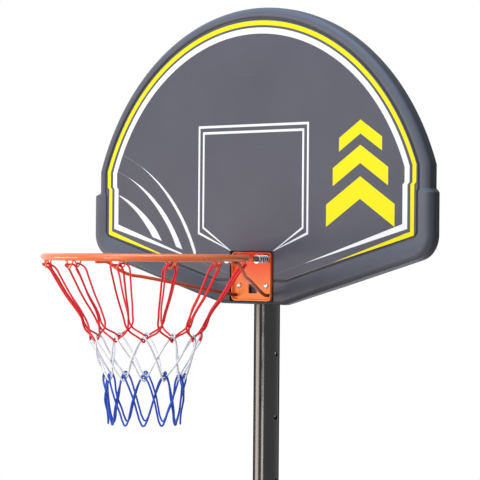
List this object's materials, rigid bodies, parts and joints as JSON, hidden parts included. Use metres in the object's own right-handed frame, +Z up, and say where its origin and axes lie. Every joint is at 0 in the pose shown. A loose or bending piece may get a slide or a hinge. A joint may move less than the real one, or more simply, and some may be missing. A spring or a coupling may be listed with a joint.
{
  "type": "basketball stand",
  "caption": "Portable basketball stand: fan-shaped board with a border and target lines, sprung rim with net, height-adjustable pole and wheeled water base.",
  "frame": {"origin": "on the floor, on the tank's flat underside, below the pole's axis", "axes": "+Z up the pole, -Y from the pole towards the ring, +X to the right of someone who faces the board"},
  "size_m": [1.112, 1.4687, 3.653],
  "materials": {
    "black_powder_coat": "gloss black powder coat",
    "tank_plastic": "fine grained black blow-moulded plastic",
    "board_plastic": "satin dark grey blow-moulded plastic with printed yellow and white lines",
    "black_plastic": "satin moulded",
    "black_rubber": "matte",
    "orange_powder_coat": "gloss orange powder coat",
    "zinc_plate": "bright zinc plate",
    "red_cord": "braided cord",
    "white_cord": "braided cord",
    "blue_cord": "braided cord"
  },
  "bodies": {
    "stand": {"base_tank": "tank_plastic", "pole_lower": "black_powder_coat", "pole_middle": "black_powder_coat", "guide_collar": "black_plastic", "lock_boss": "black_powder_coat", "strut_left": "black_powder_coat", "strut_right": "black_powder_coat", "strut_bolt": "zinc_plate", "strut_nut": "zinc_plate", "socket_bolt": "zinc_plate", "socket_nut": "zinc_plate", "strut_foot_bolt_left": "zinc_plate", "strut_foot_bolt_right": "zinc_plate", "wheel_axle": "zinc_plate", "axle_cap_left": "black_plastic", "axle_cap_right": "black_plastic"},
    "upper": {"pole_upper": "black_powder_coat", "pole_foot_bush": "black_plastic", "pole_top_cap": "black_plastic", "backboard": "board_plastic", "lower_bracket": "black_powder_coat", "upper_bracket": "black_powder_coat", "lower_bracket_bolt": "zinc_plate", "lower_bracket_nut": "zinc_plate", "upper_bracket_bolt": "zinc_plate", "upper_bracket_nut": "zinc_plate", "spring_bolt_left": "zinc_plate", "spring_bolt_right": "zinc_plate", "spring_washer_left": "zinc_plate", "spring_washer_right": "zinc_plate", "rim_bolt_left": "zinc_plate", "rim_bolt_right": "zinc_plate", "board_nut_upper_left": "zinc_plate", "board_nut_upper_right": "zinc_plate", "board_nut_lower_left": "zinc_plate", "board_nut_lower_right": "zinc_plate", "bracket_screw_lower_left": "zinc_plate", "bracket_screw_lower_right": "zinc_plate", "bracket_screw_upper_left": "zinc_plate", "bracket_screw_upper_right": "zinc_plate", "spring_left": "zinc_plate", "spring_right": "zinc_plate"},
    "rim": {"rim_plate": "orange_powder_coat", "rim_ring": "orange_powder_coat", "rim_neck": "orange_powder_coat", "brace_left": "orange_powder_coat", "brace_right": "orange_powder_coat", "net_red": "red_cord", "net_white_front": "white_cord", "net_white_back": "white_cord", "net_blue_front": "blue_cord", "net_blue_back": "blue_cord"},
    "wheel_left": {"wheel_left": "black_plastic"},
    "wheel_right": {"wheel_right": "black_plastic"},
    "lock_tip": {"lock_tip": "black_plastic"},
    "lock_knob": {"lock_knob": "black_plastic", "lock_screw": "zinc_plate"},
    "cap_gasket": {"cap_gasket": "black_rubber"},
    "filler_cap": {"filler_cap": "black_plastic"}
  },
  "joints": [
    {"name": "height_slide", "type": "slide", "parent": "stand", "child": "upper", "axis": [0, 0, 1], "range_m": [-0.762, 0]},
    {"name": "rim_tilt", "type": "hinge", "parent": "upper", "child": "rim", "pos_m": [0, -0.048, 2.983], "axis": [1, 0, 0], "range_deg": [0, 5], "stiffness_Nm_per_rad": 600, "springref_deg": -3.44, "deforming": ["spring_left", "spring_right"]},
    {"name": "wheel_left_spin", "type": "hinge", "parent": "stand", "child": "wheel_left", "pos_m": [-0.284, -0.155, 0.063], "axis": [1, 0, 0], "continuous": true},
    {"name": "wheel_right_spin", "type": "hinge", "parent": "stand", "child": "wheel_right", "pos_m": [0.284, -0.155, 0.063], "axis": [1, 0, 0], "continuous": true},
    {"name": "lock_tip_slide", "type": "slide", "parent": "stand", "child": "lock_tip", "axis": [1, 0, 0], "range_m": [-0.0061, 0.0031]},
    {"name": "lock_knob_turn", "type": "hinge", "parent": "lock_tip", "child": "lock_knob", "pos_m": [0.06, 0, 2.055], "axis": [1, 0, 0], "range_deg": [-720, 360]},
    {"name": "cap_rise", "type": "slide", "parent": "stand", "child": "cap_gasket", "axis": [0, 0, 1], "range_m": [0, 0.0061]},
    {"name": "cap_turn", "type": "hinge", "parent": "cap_gasket", "child": "filler_cap", "pos_m": [0, 0.66, 0.17], "axis": [0, 0, 1], "range_deg": [0, 540]}
  ],
  "couplings": [
    {"joint": "lock_tip_slide", "follows": "lock_knob_turn", "m_per_rad": 0.00047746},
    {"joint": "cap_rise", "follows": "cap_turn", "m_per_rad": 0.00063662}
  ]
}
